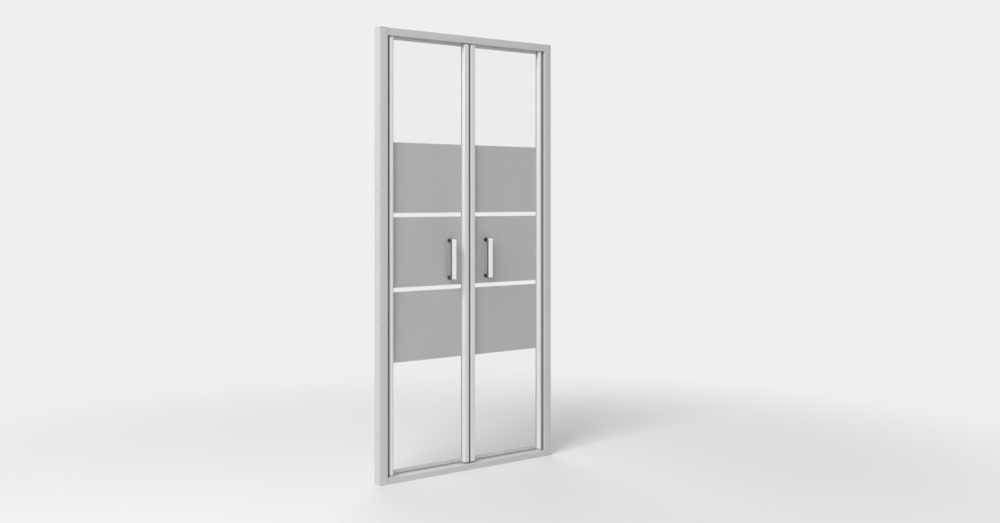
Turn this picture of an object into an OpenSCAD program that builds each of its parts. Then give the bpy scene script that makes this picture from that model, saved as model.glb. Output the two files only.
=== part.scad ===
// Shower door for a niche: two framed glass leaves that meet in the middle and swing outwards.
// Millimetres, +X across the niche, -Y towards the room, +Z up. The origin is the middle of the sill's
// underside, in the middle plane of the closed glass.
// Every side piece is drawn for the right-hand side, and left() mirrors it.

/* [Frame] */
// Width from wall to wall
overall_w = 975; // [780:5:1200]
// Height of the frame
overall_h = 1950; // [1750:10:2150]
// Depth of the frame from front to back
frame_d = 46; // [44:1:60]
// Distance from the front of the frame to the middle of the glass
glass_setback = 25; // [24:1:28]

/* [Wall channel] */
// Length of the channel's two legs, measured from the wall
channel_leg = 32; // [26:1:34]
// Thickness of the channel
channel_t = 2; // [1.5:0.1:2.5]
// Strip of channel that shows between wall and jamb
channel_show = 8; // [4:1:12]
// Play between channel and jamb on each side
channel_play = 0.3; // [0.1:0.1:0.6]
// Radius of the wall screw holes
wall_hole_r = 2.5; // [2:0.1:3.2]
// Distance from each end of the channel to its outer wall screw
wall_hole_end = 200; // [120:5:300]
// Distance between the two inner wall screws
wall_hole_span = 550; // [300:10:700]

/* [Jamb] */
// Width of the jamb's front face
jamb_w = 32; // [30:1:38]
// Thickness of the jamb
jamb_t = 1.8; // [1.4:0.1:2.2]
// Rounding of the jamb's inner edges
jamb_round = 3; // [2:0.5:4]
// Thickness of the cap on top of jamb and channel
top_cap_t = 1.5; // [1:0.1:2.5]
// Depth that the cap's plug reaches into the channel
top_cap_plug = 8; // [5:1:15]

/* [Rails] */
// Height of the head rail's face
head_h = 34; // [32:1:44]
// Wall thickness of both rails
rail_t = 1.8; // [1.4:0.1:2.2]
// Rounding of the head rail's top front edge
head_round = 4; // [2:0.5:6]
// Height of the sill's front face
sill_front_h = 26; // [24:1:32]
// Rise of the sill's sloping top behind its front face
sill_rise = 8; // [5:1:12]
// Bevel along the sill's front edge
sill_edge = 1.5; // [1:0.5:2.5]
// Drop of the sill's back edge below its crest
sill_back_drop = 6; // [3:1:8]

/* [Leaves] */
// Gap between the head rail and the leaves
gap_top = 4; // [3.5:0.5:6]
// Gap between the sill's crest and the leaves
gap_bottom = 2; // [1.5:0.5:4]
// Gap between jamb and hinge stile
gap_hinge = 15; // [12:1:18]
// Gap between the two meeting stiles
gap_seam = 11; // [8:1:13]
// Depth of the stiles in front of the middle of the glass
stile_front = 21.5; // [20:0.5:22.5]
// Depth of the stiles behind the middle of the glass
stile_back = 7; // [6.5:0.5:8]
// Width of the hinge stile
hinge_stile_w = 17; // [16:0.5:19]
// Width of the meeting stile
meeting_stile_w = 25; // [23:1:30]
// Wall thickness of both stiles
stile_t = 2; // [1.6:0.1:2.4]
// Thickness of the end caps on the stiles
end_cap_t = 1.5; // [1:0.1:2]

/* [Glass] */
// Thickness of the glass
glass_t = 6; // [5:0.5:6]
// Depth of the glass pocket in the hinge stile
hinge_pocket = 7; // [6:0.5:8]
// Depth of the glass pocket in the meeting stile
meeting_pocket = 9; // [7:0.5:11]
// Thickness of the gasket beside the glass
gasket_t = 0.6; // [0.5:0.1:0.8]
// Distance from the foot of the leaf to the glass
glass_foot = 12; // [9:1:16]
// Distance from the top of the leaf to the glass
glass_head = 6; // [4:1:8]
// Height of the middle frosted band's middle above the middle of the handles
band_rise = 37; // [0:1:60]
// Height of each frosted band
band_h = 304; // [200:1:310]
// Clear stripe between two frosted bands
band_gap = 18; // [8:1:40]
// Thickness of the frosted coating
band_t = 0.3; // [0.2:0.05:0.5]

/* [Pivots] */
// Radius of the pivot pins
pin_r = 3.5; // [3:0.1:3.6]
// Running clearance of a pivot pin in its bearing
pin_clear = 0.05; // [0.02:0.01:0.09]
// Radius of the bearing's spigot in the rail
spigot_r = 7; // [6:0.5:8]
// Depth of the bearing's spigot
spigot_depth = 12; // [8:1:12]
// Thickness of the bearing's flange
bearing_flange = 2; // [1.5:0.1:2.5]
// Length of each pivot pin inside the stile
pin_grip = 25; // [18:1:40]
// Length of the plug that holds a pivot pin in the stile
plug_len = 30; // [26:1:45]

/* [Seals] */
// Thickness of the upstand behind the leaves
stop_t = 2.5; // [2:0.5:4]
// Height of the upstand above the sill's crest
stop_h = 12; // [8:1:16]
// Drop of the stop strip below the head rail
stop_drop = 9; // [7:1:14]
// Width of the magnet strip's face
magnet_w = 10; // [8:1:11]
// Half of the gap left between the two magnet strips
magnet_gap = 0.2; // [0.2:0.05:0.4]
// Height of the seal on the glass's lower edge, over the glass
drip_grip = 5; // [4:1:10]
// Height of the seal on the glass's top edge, over the glass
top_seal_grip = 4; // [3:1:8]

/* [Handles] */
// Distance from the seam to the middle of each handle
handle_x = 104; // [70:1:160]
// Height of the middle of the handles above the floor
handle_z = 950; // [870:1:1050]
// Distance between the two screws of a handle
handle_screws_cc = 165; // [120:1:220]
// Reach of the handle in front of the glass
handle_reach = 38; // [34:1:45]
// Width of the grip
grip_w = 24; // [18:1:28]
// Thickness of the grip
grip_t = 13; // [8:1:14]
// Length by which the grip passes each screw
grip_over = 9; // [8:1:12]
// Radius of the handle's posts
post_r = 7; // [6:0.5:7.5]
// Radius of the spacers between glass and posts
spacer_r = 9; // [8:0.5:11]
// Length of the spacers
spacer_t = 20; // [3:1:22]
// Radius of the handle screws
handle_screw_r = 3; // [2.5:0.1:3]

/* [Hidden] */
$fn = 64;

// A cut runs this far past the faces that it opens
past = 1;
// Clearance of a piece that is pushed into another and stays there
snug = 0.1;
// Small rounding of an extrusion's plain corners
soft_edge = 0.5;

// The frame's faces
wall_x = overall_w / 2;
front_y = -glass_setback;
back_y = front_y + frame_d;
mid_y = (front_y + back_y) / 2;
jamb_out_x = wall_x - channel_show;
jamb_x = jamb_out_x - jamb_w;
side_h = overall_h - top_cap_t;
head_z = overall_h - head_h;
crest_z = sill_front_h + sill_rise;
channel_front_y = front_y + jamb_t + channel_play;
channel_back_y = back_y - jamb_t - channel_play;

// The leaf's outline and its pivot axis
leaf_z0 = crest_z + gap_bottom;
leaf_z1 = head_z - gap_top;
stile_z0 = leaf_z0 + end_cap_t;
stile_z1 = leaf_z1 - end_cap_t;
hinge_x1 = jamb_x - gap_hinge;
hinge_x0 = hinge_x1 - hinge_stile_w;
pivot_x = (hinge_x0 + hinge_x1) / 2;
pivot_y = hinge_stile_w / 2 - stile_front;
meet_x0 = gap_seam / 2;
meet_x1 = meet_x0 + meeting_stile_w;
stile_round = 5;
meeting_round = 3;

// The upstand and the stop strip stay clear of the hinge stile's back corner as it turns
swing_clear = 1.4;
corner_reach = norm([hinge_stile_w / 2, stile_back - pivot_y]);
stop_y = pivot_y + corner_reach + swing_clear;
stop_foot = 5;
stop_foot_t = 1.5;

// The sill's sloping top
slope_y0 = front_y + sill_edge;
slope_y1 = stop_y - swing_clear;
crest_y1 = stop_y + stop_t + stop_foot;
function sill_z(y) = sill_front_h + (y - slope_y0) * sill_rise / (slope_y1 - slope_y0);

// The glass and its pockets
pocket_half = glass_t / 2 + gasket_t;
gasket_base = 1;
lip_w = 2;
lip_t = 1;
glass_x0 = meet_x1 - meeting_pocket + gasket_base;
glass_x1 = hinge_x0 + hinge_pocket - gasket_base;
glass_z0 = leaf_z0 + glass_foot;
glass_z1 = leaf_z1 - glass_head;
lip_clear = 0.3;
edge_x0 = meet_x1 + lip_w + lip_clear;
edge_x1 = hinge_x0 - lip_w - lip_clear;
bands = 3;
band_foot = handle_z + band_rise - (bands * band_h + (bands - 1) * band_gap) / 2;

// Pins, bearings and plugs
bearing_r = pin_r + pin_clear;
bearing_half = hinge_stile_w / 2;
bearing_top = crest_z + soft_edge;
collar_r = 6;
collar_gap = 0.3;
plug_wall = 1.5;
stile_bore_r = pin_r + plug_wall;
pin_play = 2;

// Screws
port_inset = 9;
port_ys = [front_y + port_inset, back_y - port_inset];
port_bore_r = 2;
port_wall = 1.6;
head_port_z = head_z + head_h / 2;
sill_port_z = 8;
port_screw_r = port_bore_r - snug;
port_screw_len = 20;
port_head_r = 3.6;
port_head_t = 2.4;
clamp_x = (wall_x - channel_leg + jamb_out_x) / 2;
clamp_end = 150;
clamp_zs = [clamp_end, overall_h / 2, overall_h - clamp_end];
clamp_screw_r = 1.75;
clamp_screw_past = 3;
clamp_head_r = 3.5;
clamp_head_t = 2.2;
cover_wall = 1.2;
cover_r = clamp_head_r + 2 * snug + cover_wall;
cover_h = clamp_head_t + snug + cover_wall;
drive_r = 1.5;
drive_depth = 1.2;
wall_hole_zs = [wall_hole_end, (overall_h - wall_hole_span) / 2,
    (overall_h + wall_hole_span) / 2, overall_h - wall_hole_end];

// The seals between jamb and hinge stile
seal_slot = 3;
seal_w = 9;
// The bulb starts this far behind the pivot, out of the way of the stile's front corner
seal_back = 6;
seal_y = pivot_y + seal_back + seal_w / 2;
seal_tip_gap = 0.4;
seal_round = 4;
seal_wall = 1.2;
seal_head = 5;
seal_head_t = 1.5;
groove_half = seal_head / 2 + snug;
groove_d = seal_head_t + snug;
groove_wall = 1.2;

// The magnet strip and its groove
magnet_inset = 9.5;
magnet_y = magnet_inset - stile_front;
magnet_slot = 3;
magnet_groove = 6;
magnet_groove_d = 3;

// Seals on the glass's edges
edge_seal_half = glass_t / 2 + 1.5;
drip_under = 8;
drip_fin_t = 1.2;
drip_fin_drop = 3.5;
drip_fin_gap = 0.7;
top_seal_over = 5;

// The handle
handle_zs = [handle_z - handle_screws_cc / 2, handle_z + handle_screws_cc / 2];
glass_front_y = -glass_t / 2;
glass_back_y = glass_t / 2;
grip_front_y = glass_front_y - handle_reach;
grip_back_y = grip_front_y + grip_t;
spacer_y = glass_front_y - spacer_t;
grip_half = handle_screws_cc / 2 + grip_over;
grip_end_round = 6;
grip_edge_round = 2;
disc_edge = 0.8;
glass_hole_r = handle_screw_r + 3;
screw_hole_r = handle_screw_r + snug;
screw_bite = 12;
backplate_r = 10;
backplate_t = 3;
handle_head_r = 5;
handle_head_t = 3;
handle_drive_r = 2.3;
handle_drive_depth = 1.8;

satin_white = [0.86, 0.86, 0.85];
pale_glass = [0.78, 0.86, 0.86, 0.35];
frost = [0.93, 0.94, 0.94];
polished = [0.82, 0.83, 0.85];
dark_rubber = [0.16, 0.16, 0.17];
dark_plastic = [0.13, 0.13, 0.14];
pale_plastic = [0.80, 0.81, 0.80];
clear_plastic = [0.86, 0.88, 0.88, 0.7];
plain_steel = [0.66, 0.67, 0.69];

// ---- helpers ----

module left() mirror([1, 0, 0]) children();

module right() children();

// A rectangle whose corners have their own roundings, in the order of a turn from its lower left
module rounded(x0, y0, x1, y1, r) {
    corners = [
        [x0 + r[0], y0 + r[0]], [x1 - r[1], y0 + r[1]],
        [x1 - r[2], y1 - r[2]], [x0 + r[3], y1 - r[3]]
    ];
    polygon([
        [x0 + r[0], y0], [x1 - r[1], y0], [x1, y0 + r[1]], [x1, y1 - r[2]],
        [x1 - r[2], y1], [x0 + r[3], y1], [x0, y1 - r[3]], [x0, y0 + r[0]]
    ]);
    for (i = [0 : 3]) translate(corners[i]) circle(r = r[i]);
}

module rect(x0, y0, x1, y1) translate([x0, y0]) square([x1 - x0, y1 - y0]);

// An extrusion along Z of a section drawn in X and Y
module upright(z0, z1) translate([0, 0, z0]) linear_extrude(z1 - z0) children();

// An extrusion along X of a section drawn in Y and Z
module lengthwise(x0, x1) translate([x0, 0, 0]) rotate([90, 0, 90]) linear_extrude(x1 - x0) children();

// Round bars along each axis
module rod_x(x0, x1, y, z, r) translate([x0, y, z]) rotate([0, 90, 0]) cylinder(r = r, h = x1 - x0);

module rod_y(y0, y1, x, z, r) translate([x, y0, z]) rotate([-90, 0, 0]) cylinder(r = r, h = y1 - y0);

module rod_z(z0, z1, x, y, r) translate([x, y, z0]) cylinder(r = r, h = z1 - z0);

// ---- frame ----

module wall_channel() color(satin_white) difference() {
    upright(0, side_h) difference() {
        rounded(wall_x - channel_leg, channel_front_y, wall_x, channel_back_y,
            [soft_edge, soft_edge, soft_edge, soft_edge]);
        rect(wall_x - channel_leg - past, channel_front_y + channel_t,
            wall_x - channel_t, channel_back_y - channel_t);
    }
    for (z = wall_hole_zs) rod_x(wall_x - channel_t - past, wall_x + past, mid_y, z, wall_hole_r);
    for (z = clamp_zs)
        rod_y(channel_back_y - channel_t - past, channel_back_y + past, clamp_x, z, clamp_screw_r + snug);
}

module jamb() color(satin_white) difference() {
    upright(0, side_h) difference() {
        union() {
            difference() {
                rounded(jamb_x, front_y, jamb_out_x, back_y,
                    [jamb_round, soft_edge, soft_edge, jamb_round]);
                rect(jamb_x + jamb_t, front_y + jamb_t, jamb_out_x + past, back_y - jamb_t);
            }
            rect(jamb_x + jamb_t / 2, seal_y - groove_half - groove_wall,
                jamb_x + jamb_t + groove_d + groove_wall, seal_y + groove_half + groove_wall);
        }
        rect(jamb_x - past, seal_y - seal_slot / 2, jamb_x + jamb_t + past, seal_y + seal_slot / 2);
        rect(jamb_x + jamb_t, seal_y - groove_half, jamb_x + jamb_t + groove_d, seal_y + groove_half);
    }
    for (y = port_ys) for (z = [sill_port_z, head_port_z])
        rod_x(jamb_x - past, jamb_x + jamb_t + past, y, z, port_screw_r + 2 * snug);
    for (z = clamp_zs) rod_y(back_y - jamb_t - past, back_y + past, clamp_x, z, clamp_screw_r + 2 * snug);
}

module top_cap() color(satin_white) {
    upright(side_h, overall_h)
        rounded(jamb_x, front_y, wall_x, back_y, [jamb_round, soft_edge, soft_edge, jamb_round]);
    upright(side_h - top_cap_plug, side_h + top_cap_t / 2)
        rect(clamp_x, channel_front_y + channel_t + snug, wall_x - channel_t - snug,
            channel_back_y - channel_t - snug);
}

// The round seat for a corner screw, with the rib that joins it to the rail's wall
module screw_port(y, z, rib_y, rib_z) {
    translate([y, z]) circle(r = port_bore_r + port_wall);
    rect(min(y, rib_y) - rail_t / 2, min(z, rib_z) - rail_t / 2,
        max(y, rib_y) + rail_t / 2, max(z, rib_z) + rail_t / 2);
}

module head_rail() color(satin_white) difference() {
    lengthwise(-jamb_x, jamb_x) difference() {
        union() {
            difference() {
                rounded(front_y, head_z, back_y, overall_h,
                    [rail_t, soft_edge, rail_t, head_round]);
                rect(front_y + rail_t, head_z + rail_t, back_y - rail_t, overall_h - head_round);
                rect(front_y + head_round, overall_h - head_round - past,
                    back_y - rail_t, overall_h - rail_t);
            }
            screw_port(port_ys[0], head_port_z, front_y + rail_t / 2, head_port_z);
            screw_port(port_ys[1], head_port_z, back_y - rail_t / 2, head_port_z);
        }
        for (y = port_ys) translate([y, head_port_z]) circle(r = port_bore_r);
    }
    for (x = [-pivot_x, pivot_x]) rod_z(head_z - past, head_z + rail_t + past, x, pivot_y, spigot_r + snug);
}

module sill_rail() color(satin_white) difference() {
    lengthwise(-jamb_x, jamb_x) difference() {
        union() {
            difference() {
                polygon([
                    [front_y, 0], [back_y, 0], [back_y, crest_z - sill_back_drop],
                    [crest_y1, crest_z], [slope_y1, crest_z], [slope_y0, sill_front_h],
                    [front_y, sill_front_h - sill_edge]
                ]);
                polygon([
                    [front_y + rail_t, rail_t], [back_y - rail_t, rail_t],
                    [back_y - rail_t, crest_z - sill_back_drop - rail_t], [crest_y1, crest_z - rail_t],
                    [slope_y1, crest_z - rail_t], [slope_y0 + rail_t, sill_front_h - rail_t],
                    [front_y + rail_t, sill_front_h - sill_edge - rail_t]
                ]);
            }
            for (y = port_ys) screw_port(y, sill_port_z, y, rail_t / 2);
        }
        for (y = port_ys) translate([y, sill_port_z]) circle(r = port_bore_r);
    }
    for (x = [-pivot_x, pivot_x])
        rod_z(sill_z(pivot_y) - spigot_depth, crest_z + past, x, pivot_y, spigot_r + snug);
}

module corner_screw(y, z) difference() {
    union() {
        rod_x(jamb_x - port_screw_len, jamb_x + jamb_t + port_head_t / 2, y, z, port_screw_r);
        rod_x(jamb_x + jamb_t, jamb_x + jamb_t + port_head_t, y, z, port_head_r);
    }
    translate([jamb_x + jamb_t + port_head_t - drive_depth, y, z]) rotate([0, 90, 0])
        cylinder(r = drive_r, h = drive_depth + past, $fn = 6);
}

module corner_screws() color(plain_steel)
    for (y = port_ys) for (z = [sill_port_z, head_port_z]) {
        right() corner_screw(y, z);
        left() corner_screw(y, z);
    }

module clamp_screws() color(plain_steel) for (z = clamp_zs) difference() {
    union() {
        rod_y(channel_back_y - channel_t - clamp_screw_past, back_y + clamp_head_t / 2, clamp_x, z,
            clamp_screw_r);
        rod_y(back_y, back_y + clamp_head_t, clamp_x, z, clamp_head_r);
    }
    translate([clamp_x, back_y + clamp_head_t - drive_depth, z]) rotate([-90, 0, 0])
        cylinder(r = drive_r, h = drive_depth + past, $fn = 6);
}

module screw_covers() color(satin_white) for (z = clamp_zs)
    translate([clamp_x, back_y, z]) rotate([-90, 0, 0]) rotate_extrude() polygon([
        [cover_r - cover_wall, 0], [cover_r, 0], [cover_r, cover_h - soft_edge],
        [cover_r - soft_edge, cover_h], [0, cover_h], [0, cover_h - cover_wall],
        [cover_r - cover_wall, cover_h - cover_wall]
    ]);

// The front corners of a bearing are rounded like the stile above it
module bearing_outline()
    rounded(pivot_x - bearing_half, pivot_y - bearing_half, pivot_x + bearing_half,
        pivot_y + bearing_half, [stile_round, stile_round, soft_edge, soft_edge]);

module upper_bearing() color(pale_plastic) difference() {
    union() {
        upright(head_z - bearing_flange, head_z) bearing_outline();
        rod_z(head_z - bearing_flange / 2, head_z + spigot_depth, pivot_x, pivot_y, spigot_r);
    }
    rod_z(head_z - bearing_flange - past, head_z + spigot_depth + past, pivot_x, pivot_y, bearing_r);
}

module lower_bearing() color(pale_plastic) difference() {
    union() {
        intersection() {
            upright(sill_front_h, bearing_top) bearing_outline();
            lengthwise(pivot_x - bearing_half, pivot_x + bearing_half) polygon([
                [pivot_y - bearing_half, sill_z(pivot_y - bearing_half)],
                [pivot_y + bearing_half, sill_z(pivot_y + bearing_half)],
                [pivot_y + bearing_half, bearing_top], [pivot_y - bearing_half, bearing_top]
            ]);
        }
        rod_z(sill_z(pivot_y) - spigot_depth, bearing_top - bearing_flange, pivot_x, pivot_y, spigot_r);
    }
    rod_z(sill_z(pivot_y) - spigot_depth - past, bearing_top + past, pivot_x, pivot_y, bearing_r);
}

// A hollow bulb that closes the gap beside the hinge stile, held by an arrow foot in the jamb's slot
module jamb_seal() color(dark_rubber) upright(crest_z + snug, head_z - snug) {
    difference() {
        rounded(hinge_x1 + seal_tip_gap, seal_y - seal_w / 2, jamb_x, seal_y + seal_w / 2,
            [seal_round, soft_edge, soft_edge, seal_round]);
        rounded(hinge_x1 + seal_tip_gap + seal_wall, seal_y - seal_w / 2 + seal_wall,
            jamb_x - 2 * seal_wall, seal_y + seal_w / 2 - seal_wall,
            [seal_round - seal_wall, soft_edge, soft_edge, seal_round - seal_wall]);
    }
    rect(jamb_x - seal_wall, seal_y - seal_slot / 2 + snug, jamb_x + jamb_t + seal_head_t / 2,
        seal_y + seal_slot / 2 - snug);
    rect(jamb_x + jamb_t, seal_y - seal_head / 2, jamb_x + jamb_t + seal_head_t, seal_y + seal_head / 2);
}

module head_stop_strip() color(clear_plastic) lengthwise(-jamb_x + snug, jamb_x - snug) {
    rect(stop_y, head_z - stop_drop, stop_y + stop_t, head_z);
    rect(stop_y + stop_t / 2, head_z - stop_foot_t, stop_y + stop_t + stop_foot, head_z);
}

module sill_upstand() color(clear_plastic) lengthwise(-jamb_x + snug, jamb_x - snug) {
    rect(stop_y, crest_z, stop_y + stop_t, crest_z + stop_h);
    rect(stop_y + stop_t / 2, crest_z, stop_y + stop_t + stop_foot, crest_z + stop_foot_t);
}

// ---- leaf ----

module hinge_outline()
    rounded(hinge_x0, -stile_front, hinge_x1, stile_back, [stile_round, stile_round, stile_t, stile_t]);

module meeting_outline()
    rounded(meet_x0, -stile_front, meet_x1, stile_back,
        [meeting_round, meeting_round, soft_edge, soft_edge]);

module hinge_stile() color(satin_white) upright(stile_z0, stile_z1) difference() {
    hinge_outline();
    translate([pivot_x, pivot_y]) circle(r = stile_bore_r);
    rect(hinge_x0 - past, -pocket_half, hinge_x0 + hinge_pocket, pocket_half);
    rect(hinge_x0 + hinge_pocket + stile_t, -pocket_half, hinge_x1 - stile_t, stile_back - stile_t);
}

module meeting_stile() color(satin_white) upright(stile_z0, stile_z1) difference() {
    meeting_outline();
    meeting_chamber(0);
    rect(meet_x1 - meeting_pocket, -pocket_half, meet_x1 + past, pocket_half);
    rect(meet_x0 - past, magnet_y - magnet_slot / 2, meet_x0 + stile_t + past, magnet_y + magnet_slot / 2);
    rect(meet_x0 + stile_t, magnet_y - magnet_groove / 2, meet_x0 + stile_t + magnet_groove_d,
        magnet_y + magnet_groove / 2);
    rect(meet_x0 + stile_t, -pocket_half, meet_x1 - meeting_pocket - stile_t, stile_back - stile_t);
}

// The hollow in front of the glass pocket, drawn smaller by inset for what is pushed into it
module meeting_chamber(inset)
    rect(meet_x0 + 2 * stile_t + magnet_groove_d + inset, -stile_front + stile_t + inset,
        meet_x1 - stile_t - inset, -pocket_half - stile_t - inset);

module meeting_caps() color(satin_white) {
    upright(leaf_z0, stile_z0) meeting_outline();
    upright(stile_z0 - end_cap_t / 2, stile_z0 + top_cap_plug) meeting_chamber(snug);
    upright(stile_z1, leaf_z1) meeting_outline();
    upright(stile_z1 - top_cap_plug, stile_z1 + end_cap_t / 2) meeting_chamber(snug);
}

module glass() color(pale_glass) difference() {
    translate([glass_x0, -glass_t / 2, glass_z0]) cube([glass_x1 - glass_x0, glass_t, glass_z1 - glass_z0]);
    for (z = handle_zs) rod_y(glass_front_y - past, glass_back_y + past, handle_x, z, glass_hole_r);
}

module frosted_bands() color(frost) difference() {
    for (i = [0 : bands - 1])
        translate([edge_x0, glass_front_y - band_t, band_foot + i * (band_h + band_gap)])
            cube([edge_x1 - edge_x0, band_t, band_h]);
    for (z = handle_zs) rod_y(glass_front_y - past, glass_front_y + past, handle_x, z, spacer_r + soft_edge);
}

// The U-shaped gasket in a glass pocket: base at x_base, mouth at x_mouth, lips from there to x_lip
module pocket_gasket(x_base, x_mouth, x_lip) color(pale_plastic) upright(stile_z0, stile_z1) {
    inward = sign(x_lip - x_base);
    difference() {
        rect(min(x_base, x_mouth), -pocket_half, max(x_base, x_mouth), pocket_half);
        rect(min(x_base + inward * gasket_base, x_mouth + inward * past), -glass_t / 2,
            max(x_base + inward * gasket_base, x_mouth + inward * past), glass_t / 2);
    }
    for (y0 = [-glass_t / 2 - lip_t, glass_t / 2])
        rect(min(x_mouth, x_lip), y0, max(x_mouth, x_lip), y0 + lip_t);
}

module hinge_gasket() pocket_gasket(hinge_x0 + hinge_pocket, hinge_x0, hinge_x0 - lip_w);

module meeting_gasket() pocket_gasket(meet_x1 - meeting_pocket, meet_x1, meet_x1 + lip_w);

module magnet_strip() color(dark_rubber) upright(stile_z0, stile_z1) {
    rect(magnet_gap, magnet_y - magnet_w / 2, meet_x0, magnet_y + magnet_w / 2);
    rect(meet_x0 - stile_t / 2, magnet_y - magnet_slot / 2 + snug, meet_x0 + 1.5 * stile_t,
        magnet_y + magnet_slot / 2 - snug);
    rect(meet_x0 + stile_t, magnet_y - magnet_groove / 2 + snug,
        meet_x0 + stile_t + magnet_groove_d - snug, magnet_y + magnet_groove / 2 - snug);
}

module drip_seal() color(clear_plastic) lengthwise(edge_x0, edge_x1) {
    foot_z = glass_z0 - drip_under;
    fin_y = stop_y - drip_fin_gap;
    difference() {
        rect(-edge_seal_half, foot_z, edge_seal_half, glass_z0 + drip_grip);
        rect(-glass_t / 2, glass_z0, glass_t / 2, glass_z0 + drip_grip + past);
    }
    polygon([
        [edge_seal_half - drip_fin_t, foot_z], [edge_seal_half, foot_z],
        [fin_y, foot_z - drip_fin_drop], [fin_y, foot_z - drip_fin_drop + drip_fin_t],
        [edge_seal_half, foot_z + 2 * drip_fin_t], [edge_seal_half - drip_fin_t, foot_z + 2 * drip_fin_t]
    ]);
}

module top_seal() color(clear_plastic) lengthwise(edge_x0, edge_x1) difference() {
    rect(-edge_seal_half, glass_z1 - top_seal_grip, edge_seal_half, glass_z1 + top_seal_over);
    rect(-glass_t / 2, glass_z1 - top_seal_grip - past, glass_t / 2, glass_z1);
}

module upper_pin() color(plain_steel)
    rod_z(leaf_z1 - pin_grip, head_z + spigot_depth - pin_play, pivot_x, pivot_y, pin_r);

module lower_pin() color(plain_steel) {
    rod_z(sill_z(pivot_y) - spigot_depth + pin_play, leaf_z0 + pin_grip, pivot_x, pivot_y, pin_r);
    rod_z(bearing_top + collar_gap, leaf_z0, pivot_x, pivot_y, collar_r);
}

// The plug that closes an end of the hinge stile and grips the pin: cap from z0 to z1, plug to z2
module pin_plug(z0, z1, z2) color(pale_plastic) difference() {
    union() {
        upright(min(z0, z1), max(z0, z1)) hinge_outline();
        rod_z(min((z0 + z1) / 2, z2), max((z0 + z1) / 2, z2), pivot_x, pivot_y, stile_bore_r - snug);
    }
    rod_z(min(z0, z2) - past, max(z0, z2) + past, pivot_x, pivot_y, pin_r + snug / 2);
}

module upper_plug() pin_plug(leaf_z1, stile_z1, stile_z1 - plug_len);

module lower_plug() pin_plug(leaf_z0, stile_z0, stile_z0 + plug_len);

// ---- handle ----

module handle() color(polished) difference() {
    union() {
        lengthwise(handle_x - grip_w / 2, handle_x + grip_w / 2)
            rounded(grip_front_y, handle_z - grip_half, grip_back_y, handle_z + grip_half,
                [grip_end_round, grip_edge_round, grip_edge_round, grip_end_round]);
        for (z = handle_zs) rod_y(grip_back_y - grip_t / 2, spacer_y, handle_x, z, post_r);
    }
    for (z = handle_zs) rod_y(spacer_y - screw_bite, spacer_y + past, handle_x, z, screw_hole_r);
}

module handle_spacers() color(dark_plastic) for (z = handle_zs)
    translate([handle_x, glass_front_y, z]) rotate([90, 0, 0]) rotate_extrude() polygon([
        [screw_hole_r, 0], [spacer_r, 0], [spacer_r, spacer_t - disc_edge],
        [spacer_r - disc_edge, spacer_t], [screw_hole_r, spacer_t]
    ]);

module handle_sleeves() color(pale_plastic) for (z = handle_zs) difference() {
    rod_y(glass_front_y, glass_back_y, handle_x, z, glass_hole_r - snug);
    rod_y(glass_front_y - past, glass_back_y + past, handle_x, z, screw_hole_r);
}

module backplates() color(polished) for (z = handle_zs)
    translate([handle_x, glass_back_y, z]) rotate([-90, 0, 0]) rotate_extrude() polygon([
        [screw_hole_r, 0], [backplate_r, 0], [backplate_r, backplate_t - disc_edge],
        [backplate_r - disc_edge, backplate_t], [screw_hole_r, backplate_t]
    ]);

module handle_screws() color(plain_steel) for (z = handle_zs) difference() {
    union() {
        rod_y(spacer_y - screw_bite + past, glass_back_y + backplate_t + handle_head_t / 2, handle_x, z,
            handle_screw_r);
        rod_y(glass_back_y + backplate_t, glass_back_y + backplate_t + handle_head_t, handle_x, z,
            handle_head_r);
    }
    translate([handle_x, glass_back_y + backplate_t + handle_head_t - handle_drive_depth, z])
        rotate([-90, 0, 0]) cylinder(r = handle_drive_r, h = handle_drive_depth + past, $fn = 6);
}

// ---- the pieces ----

left() wall_channel();  // left_wall_channel
right() wall_channel();  // right_wall_channel
left() jamb();  // left_jamb
right() jamb();  // right_jamb
head_rail();
sill_rail();
left() top_cap();  // left_top_cap
right() top_cap();  // right_top_cap
left() clamp_screws();  // left_clamp_screws
right() clamp_screws();  // right_clamp_screws
left() screw_covers();  // left_screw_covers
right() screw_covers();  // right_screw_covers
corner_screws();
left() upper_bearing();  // left_upper_bearing
right() upper_bearing();  // right_upper_bearing
left() lower_bearing();  // left_lower_bearing
right() lower_bearing();  // right_lower_bearing
left() jamb_seal();  // left_jamb_seal
right() jamb_seal();  // right_jamb_seal
head_stop_strip();
sill_upstand();
left() glass();  // left_glass
right() glass();  // right_glass
left() frosted_bands();  // left_frosted_bands
right() frosted_bands();  // right_frosted_bands
left() hinge_stile();  // left_hinge_stile
right() hinge_stile();  // right_hinge_stile
left() meeting_stile();  // left_meeting_stile
right() meeting_stile();  // right_meeting_stile
left() hinge_gasket();  // left_hinge_gasket
right() hinge_gasket();  // right_hinge_gasket
left() meeting_gasket();  // left_meeting_gasket
right() meeting_gasket();  // right_meeting_gasket
left() magnet_strip();  // left_magnet_strip
right() magnet_strip();  // right_magnet_strip
left() drip_seal();  // left_drip_seal
right() drip_seal();  // right_drip_seal
left() top_seal();  // left_top_seal
right() top_seal();  // right_top_seal
left() upper_pin();  // left_upper_pin
right() upper_pin();  // right_upper_pin
left() lower_pin();  // left_lower_pin
right() lower_pin();  // right_lower_pin
left() upper_plug();  // left_upper_plug
right() upper_plug();  // right_upper_plug
left() lower_plug();  // left_lower_plug
right() lower_plug();  // right_lower_plug
left() meeting_caps();  // left_meeting_caps
right() meeting_caps();  // right_meeting_caps
left() handle();  // left_handle
right() handle();  // right_handle
left() handle_spacers();  // left_handle_spacers
right() handle_spacers();  // right_handle_spacers
left() handle_sleeves();  // left_handle_sleeves
right() handle_sleeves();  // right_handle_sleeves
left() backplates();  // left_backplates
right() backplates();  // right_backplates
left() handle_screws();  // left_handle_screws
right() handle_screws();  // right_handle_screws
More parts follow.
